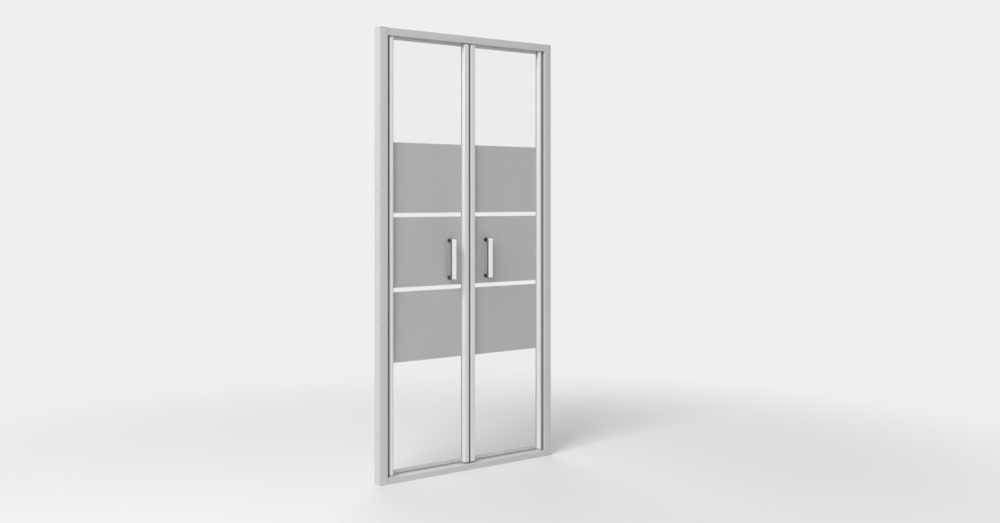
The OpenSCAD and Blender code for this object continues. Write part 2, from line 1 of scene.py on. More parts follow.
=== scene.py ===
# %% [markdown]
# # A framed shower door with two swinging leaves
#
# The door stands in a niche: a white aluminium frame, two panes of clear glass with frosted bands, and a
# chrome handle on each leaf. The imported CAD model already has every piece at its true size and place. So
# this lesson adds what Blender is good at: soft edges, finishes, light and a camera.

# %% Load the door
import math

import bpy
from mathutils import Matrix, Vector


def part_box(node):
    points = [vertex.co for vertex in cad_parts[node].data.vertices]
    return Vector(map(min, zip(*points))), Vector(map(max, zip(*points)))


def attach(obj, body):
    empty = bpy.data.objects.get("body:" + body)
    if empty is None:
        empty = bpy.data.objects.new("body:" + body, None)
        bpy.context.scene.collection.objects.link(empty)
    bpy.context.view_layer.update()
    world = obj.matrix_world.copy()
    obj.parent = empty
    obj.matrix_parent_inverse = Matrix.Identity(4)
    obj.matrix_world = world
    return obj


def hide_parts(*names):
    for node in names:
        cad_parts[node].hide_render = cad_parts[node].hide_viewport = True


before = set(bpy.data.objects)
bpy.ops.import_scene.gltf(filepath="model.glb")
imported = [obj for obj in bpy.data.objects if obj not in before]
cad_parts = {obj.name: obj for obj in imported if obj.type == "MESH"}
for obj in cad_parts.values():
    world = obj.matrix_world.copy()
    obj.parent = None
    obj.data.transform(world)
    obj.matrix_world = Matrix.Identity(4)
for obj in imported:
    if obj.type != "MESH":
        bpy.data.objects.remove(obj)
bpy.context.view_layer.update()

# %% [markdown]
# ## The camera
#
# The camera stands to the left of the door, level, a little over four metres in front of it. A level
# camera keeps upright edges parallel, and the lens shift lowers the view without tilting it. The distance
# and the heading come from how the frame's width and height shrink towards its far side.

# %% Place the camera
QUARTER_TURN = math.radians(90)
CAMERA_PLACE = (-3.3556, -4.2704, 1.2143)
CAMERA_HEADING = math.radians(-39.725)
CAMERA_LENS = 43.306
CAMERA_SHIFT = -0.0618
SENSOR_WIDTH = 36
CAMERA_REACH = 100


def add_camera():
    """A new camera looks straight down, and a quarter turn about X makes it look level."""
    bpy.ops.object.camera_add(location=CAMERA_PLACE, rotation=(QUARTER_TURN, 0, CAMERA_HEADING))
    camera = bpy.context.object
    camera.name = "view_from_the_left"
    camera.data.lens = CAMERA_LENS
    camera.data.sensor_width = SENSOR_WIDTH
    camera.data.shift_y = CAMERA_SHIFT
    camera.data.clip_end = CAMERA_REACH
    bpy.context.scene.camera = camera
    return camera


camera = add_camera()
print("camera at", tuple(round(x, 3) for x in camera.location))

# %% [markdown]
# ## Node helpers
#
# Every finish is a small network of shader nodes. It could be wired by hand in the shader editor, but
# with four helpers the same network takes a few lines. One adds a node with its settings, and one starts
# a material. One starts a node group, which is a part of a network that several materials share, and the
# last puts such a group into a material.

# %% Helpers for shader nodes
FLOAT, VECTOR = "NodeSocketFloat", "NodeSocketVector"


def add_node(tree, kind, values=None, **settings):
    """Adds a node, sets its options, then fills in its input sockets by name or number."""
    node = tree.nodes.new(kind)
    for name, value in settings.items():
        setattr(node, name, value)
    for name, value in (values or {}).items():
        node.inputs[name].default_value = value
    return node


def new_material(name, **shader_values):
    """A material with one Principled shader, and its Object coordinates ready for use."""
    material = bpy.data.materials.new(name)
    material.use_nodes = True
    tree = material.node_tree
    shader = tree.nodes["Principled BSDF"]
    for socket, value in shader_values.items():
        shader.inputs[socket.replace("_", " ")].default_value = value
    place = add_node(tree, "ShaderNodeTexCoord").outputs["Object"]
    return material, tree, shader, place


def new_group(name, inputs, outputs):
    """A shader node group with named inputs, which carry defaults, and named outputs."""
    group = bpy.data.node_groups.new(name, "ShaderNodeTree")
    for socket, (kind, value) in inputs.items():
        made = group.interface.new_socket(name=socket, in_out="INPUT", socket_type=kind)
        if value is not None:
            made.default_value = value
    for socket, kind in outputs.items():
        group.interface.new_socket(name=socket, in_out="OUTPUT", socket_type=kind)
    return group, group.nodes.new("NodeGroupInput"), group.nodes.new("NodeGroupOutput")


def use_group(tree, group, place, values):
    """Puts a group into a material, fed with the material's coordinates."""
    node = add_node(tree, "ShaderNodeGroup", values, node_tree=group)
    tree.links.new(place, node.inputs["Place"])
    return node


print("node helpers ready")

# %% [markdown]
# ## Orange peel
#
# Three effects turn up on several finishes. Each is a node group, so a material only says how strong it
# is and how large its pattern is, in metres. The first is the peel of baked powder, which flows into a
# skin that is level but not quite flat. To sculpt it would take millions of faces, so a fine noise gives
# a height instead, and the shader bends its normals by that.


# %% Group: orange peel
def scale_by_size(group, source, noise):
    """A noise takes the number of its patches in a metre, which is 1 over the size of one."""
    rate = add_node(group, "ShaderNodeMath", {0: 1.0}, operation="DIVIDE")
    group.links.new(source.outputs["Size"], rate.inputs[1])
    group.links.new(rate.outputs[0], noise.inputs["Scale"])


def make_orange_peel():
    """Small soft bumps, as a height between 0 and 1."""
    group, source, result = new_group(
        "orange_peel",
        {"Place": (VECTOR, None), "Size": (FLOAT, 0.0015)},
        {"Height": FLOAT},
    )
    noise = add_node(group, "ShaderNodeTexNoise", {"Detail": 1.5, "Roughness": 0.4})
    scale_by_size(group, source, noise)
    group.links.new(source.outputs["Place"], noise.inputs["Vector"])
    group.links.new(noise.outputs["Fac"], result.inputs["Height"])
    return group


orange_peel = make_orange_peel()
print("made", orange_peel.name)

# %% [markdown]
# ## Wipe marks
#
# Nothing that is touched or wiped is equally glossy all over. A painted roughness map would show that,
# but it needs a picture file. A broad noise does it without one: stretched along the height, as water
# runs and hands wipe, it wanders between a smoother and a duller value.

# %% Group: cloudy wipe marks
WIPE_STRETCH = (1.0, 1.0, 0.35)


def make_wipe_marks():
    """Long soft patches, as a roughness that wanders between two values and a mask for colour."""
    group, source, result = new_group(
        "wipe_marks",
        {
            "Place": (VECTOR, None),
            "Size": (FLOAT, 0.12),
            "Smooth": (FLOAT, 0.25),
            "Dull": (FLOAT, 0.35),
        },
        {"Roughness": FLOAT, "Mask": FLOAT},
    )
    stretch = add_node(group, "ShaderNodeMapping", {"Scale": WIPE_STRETCH})
    broad = add_node(group, "ShaderNodeTexNoise", {"Detail": 2.5, "Roughness": 0.5, "Distortion": 0.1})
    mask = add_node(group, "ShaderNodeMapRange", {"From Min": 0.3, "From Max": 0.7})
    spread = add_node(group, "ShaderNodeMapRange")
    scale_by_size(group, source, broad)
    link = group.links.new
    link(source.outputs["Place"], stretch.inputs["Vector"])
    link(stretch.outputs["Vector"], broad.inputs["Vector"])
    link(broad.outputs["Fac"], mask.inputs["Value"])
    link(mask.outputs["Result"], spread.inputs["Value"])
    link(source.outputs["Smooth"], spread.inputs["To Min"])
    link(source.outputs["Dull"], spread.inputs["To Max"])
    link(spread.outputs["Result"], result.inputs["Roughness"])
    link(mask.outputs["Result"], result.inputs["Mask"])
    return group


wipe_marks = make_wipe_marks()
print("made", wipe_marks.name)

# %% [markdown]
# ## Drawn lines
#
# A die leaves fine lines along drawn metal and extruded rubber. Modelled grooves would be lost in the
# render and heavy in the file, so they are a noise too, stretched fifty times along the door's height.

# %% Group: drawn lines
LINE_STRETCH = (1.0, 1.0, 0.02)


def make_drawn_lines():
    """Fine lines along Z, as a height between 0 and 1."""
    group, source, result = new_group(
        "drawn_lines",
        {"Place": (VECTOR, None), "Size": (FLOAT, 0.0006)},
        {"Height": FLOAT},
    )
    stretch = add_node(group, "ShaderNodeMapping", {"Scale": LINE_STRETCH})
    noise = add_node(group, "ShaderNodeTexNoise", {"Detail": 3.0, "Roughness": 0.7})
    scale_by_size(group, source, noise)
    group.links.new(source.outputs["Place"], stretch.inputs["Vector"])
    group.links.new(stretch.outputs["Vector"], noise.inputs["Vector"])
    group.links.new(noise.outputs["Fac"], result.inputs["Height"])
    return group


drawn_lines = make_drawn_lines()
print("made", drawn_lines.name)

# %% [markdown]
# ## Joining effects to a shader
#
# A finish needs a gloss that wanders, a colour that varies a little and a fine relief. One helper wires
# each of these to the shader, so that a finish below is little more than its numbers.


# %% Helpers for effects
def roughen(tree, shader, place, size, smooth, dull):
    """Lets wipe marks set the roughness, and returns their mask."""
    marks = use_group(tree, wipe_marks, place, {"Size": size, "Smooth": smooth, "Dull": dull})
    tree.links.new(marks.outputs["Roughness"], shader.inputs["Roughness"])
    return marks.outputs["Mask"]


def tint(tree, shader, mask, color, other):
    """Mixes two near colours by a mask."""
    mix = add_node(tree, "ShaderNodeMix", data_type="RGBA")
    mix.inputs["A"].default_value = (*color, 1)
    mix.inputs["B"].default_value = (*other, 1)
    tree.links.new(mask, mix.inputs["Factor"])
    tree.links.new(mix.outputs["Result"], shader.inputs["Base Color"])


def emboss(tree, shader, place, group, size, strength, depth):
    """Bends the normals by the height of a group. Size and depth are in metres."""
    relief = use_group(tree, group, place, {"Size": size})
    bump = add_node(tree, "ShaderNodeBump", {"Strength": strength, "Distance": depth})
    tree.links.new(relief.outputs["Height"], bump.inputs["Height"])
    tree.links.new(bump.outputs["Normal"], shader.inputs["Normal"])


print("effect helpers ready")

# %% [markdown]
# ## Powder coats
#
# The frame and the stiles are aluminium under a baked powder coat: a satin white with a slight peel. One
# flat white would look like paper, so two near whites are mixed by the wipe marks. The frame's coat is
# the stiles' white painted darker, as painted shade, so each has its own coat from the same function.


# %% Powder coats
def make_powder_coat(name, color, other):
    material, tree, shader, place = new_material(name, IOR=1.5)
    mask = roughen(tree, shader, place, size=0.18, smooth=0.26, dull=0.36)
    tint(tree, shader, mask, color, other)
    emboss(tree, shader, place, orange_peel, size=0.0016, strength=0.25, depth=0.00008)
    return material


# Painted shade: the frame's white is darker than the stiles' white, 0.62 against 0.775.
frame_coat_painted_shade = make_powder_coat("frame_powder_coat_painted_shade", (0.62, 0.62, 0.615), (0.60, 0.60, 0.595))
leaf_coat = make_powder_coat("leaf_powder_coat", (0.775, 0.775, 0.77), (0.75, 0.75, 0.745))
print("made", frame_coat_painted_shade.name, leaf_coat.name)

# %% [markdown]
# ## Moulded plastics
#
# Snap caps, end caps, spacers and bearings are moulded, and the wall of a mould leaves a fine even grain.
# The pieces differ only in colour and gloss, so one function makes every plastic, down to the clear lips
# and the pale gaskets that hold the glass. The clear one lets half of the light pass, as soft vinyl does.


# %% Moulded plastics and soft vinyl
def make_plastic(name, color, other, smooth, dull, **shader_values):
    material, tree, shader, place = new_material(name, IOR=1.49, **shader_values)
    mask = roughen(tree, shader, place, size=0.03, smooth=smooth, dull=dull)
    tint(tree, shader, mask, color, other)
    emboss(tree, shader, place, orange_peel, size=0.0005, strength=0.3, depth=0.00004)
    return material


white_plastic = make_plastic(
    "white_moulded_plastic", (0.71, 0.71, 0.705), (0.68, 0.68, 0.675), smooth=0.3, dull=0.42
)
dark_plastic = make_plastic(
    "dark_moulded_plastic", (0.024, 0.024, 0.026), (0.034, 0.034, 0.036), smooth=0.3, dull=0.45
)
nylon = make_plastic("pale_nylon", (0.62, 0.62, 0.60), (0.55, 0.55, 0.53), smooth=0.45, dull=0.6)
clear_seal = make_plastic(
    "clear_soft_seal", (0.80, 0.805, 0.805), (0.76, 0.765, 0.765), smooth=0.14, dull=0.24, Alpha=0.5
)
pale_gasket = make_plastic(
    "pale_soft_gasket", (0.66, 0.66, 0.655), (0.62, 0.62, 0.615), smooth=0.35, dull=0.5
)
print("made", white_plastic.name, dark_plastic.name, nylon.name, clear_seal.name, pale_gasket.name)

# %% [markdown]
# ## Metals
#
# The backplates are chromed, and the screws and pins are bright steel. A metal has no colour under its
# gloss: its base colour is the tint of what it mirrors. A perfect mirror looks computed, so the drawn
# lines break it up, hardly at all on chrome and more on steel.


# %% Metals
def make_metal(name, color, other, smooth, dull, line_size, line_depth):
    material, tree, shader, place = new_material(name, Metallic=1.0)
    mask = roughen(tree, shader, place, size=0.05, smooth=smooth, dull=dull)
    tint(tree, shader, mask, color, other)
    emboss(tree, shader, place, drawn_lines, size=line_size, strength=0.2, depth=line_depth)
    return material


chrome = make_metal(
    "polished_chrome", (0.76, 0.765, 0.775), (0.72, 0.725, 0.735),
    smooth=0.05, dull=0.10, line_size=0.002, line_depth=0.00001,
)
steel = make_metal(
    "bright_steel", (0.52, 0.52, 0.53), (0.46, 0.46, 0.47),
    smooth=0.24, dull=0.36, line_size=0.0004, line_depth=0.00003,
)
print("made", chrome.name, steel.name)

# %% [markdown]
# ## Chrome of the grips
#
# A grip is polished on its flat front and satin along its sides, and the sides' colour is darkened as
# painted shade. Two materials would have to be given face by face, also along the rounded edges. So one
# material measures how far a point lies behind the grip's front, and goes over from one finish to the
# other where the rounding ends.

# %% Chrome with painted shade on the grip sides
GRIP_EDGE_ROUND = 0.0014
GRIP_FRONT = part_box("right_handle")[0].y
SHADED_SIDE_STARTS = GRIP_FRONT + 0.7 * GRIP_EDGE_ROUND
SHADED_SIDE_FULL = GRIP_FRONT + 1.1 * GRIP_EDGE_ROUND


def make_chrome_with_painted_side_shade():
    """Polished in front and satin along the sides, which start behind the rounded front edge and carry
    painted shade.
    """
    material, tree, shader, place = new_material("chrome_with_painted_side_shade", Metallic=1.0)
    split = add_node(tree, "ShaderNodeSeparateXYZ")
    side = add_node(tree, "ShaderNodeMapRange", {"From Min": SHADED_SIDE_STARTS, "From Max": SHADED_SIDE_FULL})
    gloss = add_node(tree, "ShaderNodeMapRange", {"To Min": 0.06, "To Max": 0.2})
    tree.links.new(place, split.inputs[0])
    tree.links.new(split.outputs["Y"], side.inputs["Value"])
    tree.links.new(side.outputs["Result"], gloss.inputs["Value"])
    tree.links.new(gloss.outputs["Result"], shader.inputs["Roughness"])
    # Painted shade: the sides' colour drops from 0.77 to 0.40, on top of their real satin gloss.
    tint(tree, shader, side.outputs["Result"], (0.77, 0.775, 0.785), (0.40, 0.40, 0.41))
    emboss(tree, shader, place, drawn_lines, size=0.0012, strength=0.2, depth=0.00001)
    return material


painted_shade_grip_chrome = make_chrome_with_painted_side_shade()
print("made", painted_shade_grip_chrome.name)

# %% [markdown]
# ## Rubber
#
# The seals beside the jambs and the magnet strips in the seam are extruded rubber: dark grey, dull, and
# with fine lines along their length. Pure black would hide their form, because a real seal still scatters
# a little light.


# %% Rubber
def make_rubber(name, color, other, smooth, dull):
    material, tree, shader, place = new_material(name, IOR=1.5)
    mask = roughen(tree, shader, place, size=0.06, smooth=smooth, dull=dull)
    tint(tree, shader, mask, color, other)
    emboss(tree, shader, place, drawn_lines, size=0.0005, strength=0.3, depth=0.00005)
    return material


dark_rubber = make_rubber(
    "dark_seal_rubber", (0.075, 0.075, 0.078), (0.10, 0.10, 0.10), smooth=0.5, dull=0.68
)
magnet_rubber = make_rubber(
    "magnet_strip", (0.10, 0.10, 0.105), (0.13, 0.13, 0.13), smooth=0.4, dull=0.55
)
print("made", dark_rubber.name, magnet_rubber.name)

# %% [markdown]
# ## Clear glass
#
# The panes are toughened float glass. A transparent shader would be quicker, but it doesn't bend light,
# and the pane's edges would look empty. So the glass is the shader's own transmission, with a slight
# green and a faint film that only shows in its gloss.


# %% Clear glass
def make_glass():
    material, tree, shader, place = new_material("clear_float_glass", IOR=1.5, Transmission_Weight=1.0)
    mask = roughen(tree, shader, place, size=0.35, smooth=0.0, dull=0.025)
    tint(tree, shader, mask, (0.965, 0.976, 0.972), (0.952, 0.964, 0.96))
    return material


glass = make_glass()
print("made", glass.name)

# %% [markdown]
# ## Frosting
#
# The bands scatter light both ways, so they read as a pale grey sheet with nothing behind it. Rough glass
# alone would still show what is behind, and an opaque white would be dead. A third of transmission under
# a rough, finely grained surface lies between the two.


# %% Frosting
def make_frosting():
    material, tree, shader, place = new_material("frosted_band", IOR=1.4, Transmission_Weight=0.35)
    mask = roughen(tree, shader, place, size=0.25, smooth=0.62, dull=0.72)
    tint(tree, shader, mask, (0.65, 0.65, 0.648), (0.63, 0.63, 0.628))
    emboss(tree, shader, place, orange_peel, size=0.0004, strength=0.35, depth=0.00005)
    return material


frosting = make_frosting()
print("made", frosting.name)

# %% [markdown]
# ## Selecting
#
# Blender's edit operators act on whatever is selected, and the loaded nodes arrive selected. So each step
# starts by selecting one object alone, and picks its faces or edges in code, by where they are.

# %% Helpers for selecting
SAME_PLACE = 1e-5


def only(piece):
    """Selects this piece alone."""
    if bpy.context.object and bpy.context.object.mode != "OBJECT":
        bpy.ops.object.mode_set(mode="OBJECT")
    bpy.ops.object.select_all(action="DESELECT")
    piece.select_set(True)
    bpy.context.view_layer.objects.active = piece
    return piece


def clear_selection():
    bpy.ops.object.select_all(action="DESELECT")


def choose(piece, edges=None, faces=None):
    """Enters edit mode with the edges or faces chosen that pass the test."""
    only(piece)
    mesh = piece.data
    for part in (mesh.vertices, mesh.edges, mesh.polygons):
        part.foreach_set("select", [False] * len(part))
    if faces:
        for face in mesh.polygons:
            face.select = bool(faces(face))
    if edges:
        for edge in mesh.edges:
            ends = [mesh.vertices[i].co for i in edge.vertices]
            edge.select = bool(edges(*ends))
    bpy.ops.object.mode_set(mode="EDIT")
    bpy.ops.mesh.select_mode(type="FACE" if faces else "EDGE")


def leave_edit():
    bpy.ops.object.mode_set(mode="OBJECT")


def everything(*_):
    """The test that every edge or face passes."""
    return True


def edges_at(y):
    """The test for edges that lie in one plane across the door."""
    return lambda a, b: abs(a.y - y) < SAME_PLACE and abs(b.y - y) < SAME_PLACE


print("selecting is ready")

# %% [markdown]
# ## Boxes, rods and cuts
#
# Each fitting starts as a box, or as a rod that points through the door, and gets its form from rounded
# edges and exact booleans. That keeps every size a plain number, which sculpting doesn't. The CAD nodes
# stand at the origin with their place in their mesh, so a new piece is settled in the same way.

# %% Helpers for solids
DRILL_LENGTH = 0.08


def settle(piece):
    """Moves the object's place and size into its mesh, as the CAD nodes have it."""
    only(piece)
    bpy.ops.object.transform_apply(location=True, rotation=True, scale=True)
    return piece


def add_box(name, low, high):
    clear_selection()
    middle = [(a + b) / 2 for a, b in zip(low, high)]
    bpy.ops.mesh.primitive_cube_add(size=1, location=middle)
    piece = bpy.context.object
    piece.name = name
    piece.scale = [b - a for a, b in zip(low, high)]
    return settle(piece)


def add_rod(name, place, radius, length, sides=64):
    """A rod along Y, the way through the door. Place is its middle."""
    clear_selection()
    bpy.ops.mesh.primitive_cylinder_add(
        vertices=sides, radius=radius, depth=length, location=place, rotation=(QUARTER_TURN, 0, 0)
    )
    piece = bpy.context.object
    piece.name = name
    return settle(piece)


def finish_with(piece, kind, **settings):
    """Adds one modifier and applies it."""
    only(piece)
    modifier = piece.modifiers.new(kind.lower(), kind)
    for name, value in settings.items():
        setattr(modifier, name, value)
    bpy.ops.object.modifier_apply(modifier=modifier.name)


def cut(piece, tool, operation="DIFFERENCE"):
    """Cuts the tool from the piece, or joins it on, and deletes the tool."""
    finish_with(piece, "BOOLEAN", object=tool, operation=operation, solver="EXACT")
    bpy.data.objects.remove(tool, do_unlink=True)


def drill(piece, x, z, radius):
    """Drills a round hole right through the piece, from front to back."""
    cut(piece, add_rod("drill", (x, 0, z), radius, DRILL_LENGTH))


def bevel(piece, edges, width, segments=1):
    """Cuts the edges that pass the test off at a slant, or rounds them with more segments."""
    choose(piece, edges=edges)
    bpy.ops.mesh.bevel(offset=width, segments=segments, affect="EDGES")
    leave_edit()


def smooth(piece, degrees):
    """Smooth shading over every edge that is blunter than this."""
    only(piece)
    bpy.ops.object.shade_smooth_by_angle(angle=math.radians(degrees))


print("solids can be made")

# %% [markdown]
# ## Dressing and mirroring
#
# A new piece takes a finish, moves with its body, and hides the CAD node that it stands for. The door is
# the same on both sides of its seam, so only right-hand pieces are modelled. A mirror modifier would keep
# both sides in one object, but each leaf swings by itself, so the left-hand piece is a mirrored copy.


# %% Helpers for dressing
def dress(piece, material, body, node):
    """Gives a new piece its finish, lets it move with its body, and hides the node it stands for."""
    piece.data.materials.clear()
    piece.data.materials.append(material)
    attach(piece, body)
    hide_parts(node)


def mirrored(piece, name):
    """The same piece for the left-hand side: mirrored across the seam, with its faces turned back out."""
    only(piece)
    bpy.ops.object.duplicate()
    twin = bpy.context.object
    twin.name = name
    twin.scale.x = -1
    settle(twin)
    choose(twin, faces=everything)
    bpy.ops.mesh.normals_make_consistent(inside=False)
    leave_edit()
    return twin


def on_side(side, body):
    """Each side has a leaf of its own, and both share the frame."""
    return side + body if body == "leaf" else body


def dress_both(right, material, body, node):
    """Mirrors a right-hand piece to the left, and dresses the two."""
    left = mirrored(right, right.name.replace("right_", "left_"))
    for piece, side in ((right, "right_"), (left, "left_")):
        dress(piece, material, on_side(side, body), side + node)
    print(right.name, "and", left.name, "faces:", len(right.data.polygons), "each")


print("pieces can be dressed")

# %% [markdown]
# ## The glass panes
#
# A toughened pane is ground along its edges after cutting, which leaves a narrow flat at 45 degrees that
# catches the light. A plain box has none, so each pane is a box whose edges are bevelled, with the two
# handle holes drilled through it. The seals grip the pane tightly, so in the CAD their faces are equal to
# its own. A ray can't tell two equal faces apart and the clear seals would come out speckled, so the pane
# is a fiftieth of a millimetre smaller all round.

# %% Model the panes
PANE_ARRIS = 0.0009
PANE_EASE = 0.00002
HOLE_RADIUS = 0.006


def handle_heights():
    """The heights of the two handle screws, from the sleeves around them."""
    low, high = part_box("right_handle_sleeves")
    sleeve_radius = (high.x - low.x) / 2
    return low.z + sleeve_radius, high.z - sleeve_radius


def model_pane():
    low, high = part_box("right_glass")
    ease = Vector((PANE_EASE, PANE_EASE, PANE_EASE))
    pane = add_box("right_pane", low + ease, high - ease)
    bevel(pane, everything, PANE_ARRIS)
    sleeve_low, sleeve_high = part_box("right_handle_sleeves")
    for z in handle_heights():
        drill(pane, (sleeve_low.x + sleeve_high.x) / 2, z, HOLE_RADIUS)
    return pane


dress_both(model_pane(), glass, "leaf", "glass")

# %% [markdown]
# ## The handles
#
# Each handle is one flat grip on two round posts, plated all over. The grip starts as a box. Its long
# edges get a small radius and its ends a larger one, as the real one's do. The pieces are joined with an
# exact boolean, so the handle is one closed skin, and the bevel that follows also softens the corners
# where the posts meet the grip.

# %% Model the handles
GRIP_THICK = 0.013
GRIP_END_ROUND = 0.006
POST_RADIUS = 0.007


def model_handle():
    low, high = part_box("right_handle")
    x = (low.x + high.x) / 2
    grip = add_box("right_grip", low, (high.x, low.y + GRIP_THICK, high.z))
    in_front = edges_at(low.y)

    def is_front_end(a, b):
        return in_front(a, b) and abs(a.z - b.z) < SAME_PLACE

    bevel(grip, is_front_end, GRIP_END_ROUND, segments=10)
    reach = high.y - low.y - GRIP_THICK / 2
    for z in handle_heights():
        cut(grip, add_rod("post", (x, high.y - reach / 2, z), POST_RADIUS, reach), "UNION")
    finish_with(
        grip, "BEVEL", width=GRIP_EDGE_ROUND, segments=4, limit_method="ANGLE",
        angle_limit=math.radians(40),
    )
    smooth(grip, degrees=50)
    return grip


dress_both(model_handle(), painted_shade_grip_chrome, "leaf", "handle")

# %% [markdown]
# ## Turned parts
#
# A dark spacer stands between the glass and each post, and a plated plate takes the screw's pressure on
# the back. Both are turned parts: round, with a rounded rim, and bored for the screw. One function makes
# either from a cylinder. The rim is bevelled, and a ring of faces is pushed in for the fine groove that a
# soft washer fills.

# %% Helpers for turned parts
RIM = 0.0008
GROOVE_START = 0.0006
GROOVE_WIDTH = 0.0008
GROOVE_DEPTH = 0.0004
SCREW_BORE = 0.0031
FACES_SIDEWAYS = 0.1


def cut_groove(piece, y):
    """Cuts a groove, from y towards the back, round a part that was turned about an axis along Y."""
    for side in (y, y + GROOVE_WIDTH):
        choose(piece, faces=everything)
        bpy.ops.mesh.bisect(plane_co=(0, side, 0), plane_no=(0, 1, 0))
        leave_edit()

    def in_groove(face):
        return y < face.center.y < y + GROOVE_WIDTH and abs(face.normal.y) < FACES_SIDEWAYS

    choose(piece, faces=in_groove)
    bpy.ops.mesh.extrude_region_shrink_fatten(TRANSFORM_OT_shrink_fatten={"value": -GROOVE_DEPTH})
    leave_edit()


def turn_disc(name, place, radius, length, outward):
    """A disc that stands on the glass at this place. Outward is -1 towards the room, 1 to the back."""
    x, y, z = place
    end = y + outward * length
    disc = add_rod(name, (x, (y + end) / 2, z), radius, length)
    bevel(disc, edges_at(end), RIM, segments=5)
    cut_groove(disc, y + GROOVE_START if outward > 0 else y - GROOVE_START - GROOVE_WIDTH)
    drill(disc, x, z, SCREW_BORE)
    return disc


print("turned parts can be made")

# %% [markdown]
# ## Spacers and backplates
#
# Each CAD piece here is a pair, with one part at either end of the handle. An array modifier spaces its
# copies evenly, which suits a pair. A helper that takes any list of steps also serves the bands, the
# screws and the snap caps below: it copies a piece to each step above it and joins the copies to it.


# %% Model the spacers and backplates
def repeat_upwards(piece, steps):
    """Copies the piece to each step above it, and joins the copies to it."""
    copies = []
    for step in steps:
        only(piece)
        bpy.ops.object.duplicate()
        twin = bpy.context.object
        twin.location.z += step
        copies.append(settle(twin))
    only(piece)
    for twin in copies:
        twin.select_set(True)
    bpy.ops.object.join()


low_screw, high_screw = handle_heights()


def model_pair(node, outward):
    low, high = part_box(node)
    place = ((low.x + high.x) / 2, high.y if outward < 0 else low.y, low_screw)
    disc = turn_disc(node + "_turned", place, (high.x - low.x) / 2, high.y - low.y, outward)
    repeat_upwards(disc, [high_screw - low_screw])
    smooth(disc, degrees=40)
    return disc


right_spacers = model_pair("right_handle_spacers", -1)
right_plates = model_pair("right_backplates", 1)
dress_both(right_spacers, dark_plastic, "leaf", "handle_spacers")
dress_both(right_plates, chrome, "leaf", "backplates")

# %% [markdown]
# ## The frosted bands
#
# The frosting is a thin baked coating on the room side of the glass. If a band's back were equal to the
# pane's front, a ray from the shower side would lose its way between the two and the band would look
# black from there. If it were sunk into the glass, the glass would trap most of its light. So each band
# stops a few hundredths of a millimetre short of the pane, which nobody can see, and is equally pale from
# both sides. Its front edges get a tiny bevel, because a printed layer thins out at its edge. One band is
# repeated upwards, and drilled around the spacers.

# %% Model the frosted bands
BAND_COUNT = 3
CLEAR_STRIPE = 0.018
COATING_GAP = 0.00003
COATING_EDGE = 0.0001
SPACER_ROOM = 0.0003


def model_bands():
    low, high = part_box("right_frosted_bands")
    height = (high.z - low.z - (BAND_COUNT - 1) * CLEAR_STRIPE) / BAND_COUNT
    bands = add_box("right_bands", low, (high.x, high.y - COATING_GAP, low.z + height))
    bevel(bands, edges_at(low.y), COATING_EDGE)
    repeat_upwards(bands, [step * (height + CLEAR_STRIPE) for step in range(1, BAND_COUNT)])
    spacer_low, spacer_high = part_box("right_handle_spacers")
    radius = (spacer_high.x - spacer_low.x) / 2 + SPACER_ROOM
    for z in handle_heights():
        drill(bands, (spacer_low.x + spacer_high.x) / 2, z, radius)
    return bands


dress_both(model_bands(), frosting, "leaf", "frosted_bands")

# %% [markdown]
# ## The handle's screws
#
# From the shower side each backplate shows a low pan head with a hexagon socket. The head is a short
# cylinder whose rim gets a wide rounding, the socket is a six-sided hole, and the shank is joined on. The
# shank runs through the glass and the spacer into the post, where nobody sees it, so it has no thread.

# %% Model the handle screws
PAN_RADIUS = 0.005
PAN_HEIGHT = 0.003
PAN_RIM = 0.0013
SOCKET_RADIUS = 0.0023
SOCKET_DEPTH = 0.0018
SHANK_RADIUS = 0.003


def model_handle_screws():
    low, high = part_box("right_handle_screws")
    x, z, seat = (low.x + high.x) / 2, low_screw, high.y - PAN_HEIGHT
    screw = add_rod("right_screws", (x, seat + PAN_HEIGHT / 2, z), PAN_RADIUS, PAN_HEIGHT)
    bevel(screw, edges_at(high.y), PAN_RIM, segments=6)
    cut(screw, add_rod("socket", (x, high.y, z), SOCKET_RADIUS, 2 * SOCKET_DEPTH, sides=6))
    end = seat + PAN_HEIGHT / 4
    shank = add_rod("shank", (x, (low.y + end) / 2, z), SHANK_RADIUS, end - low.y, sides=48)
    cut(screw, shank, "UNION")
    repeat_upwards(screw, [high_screw - low_screw])
    smooth(screw, degrees=35)
    return screw


dress_both(model_handle_screws(), steel, "leaf", "handle_screws")

# %% [markdown]
# ## Snap caps over the clamp screws
#
# Three screws on the shower side clamp each jamb to its wall channel, and a white snap cap hides each
# head. A moulded cap is never a plain cylinder: its top is slightly domed, it is hollow underneath so
# that it fits over the head, and it has a small slot for prying it off. The dome is a wide bevel, the
# hollow an inset that is pushed in, and the slot a small box that is cut away.

# %% Model the snap caps
CAP_WALL = 0.0012
CAP_DOME = 0.0018
SLOT_WIDTH = 0.0024
SLOT_HEIGHT = 0.0007
SLOT_BEFORE = 0.001
SLOT_BEHIND = 0.0004


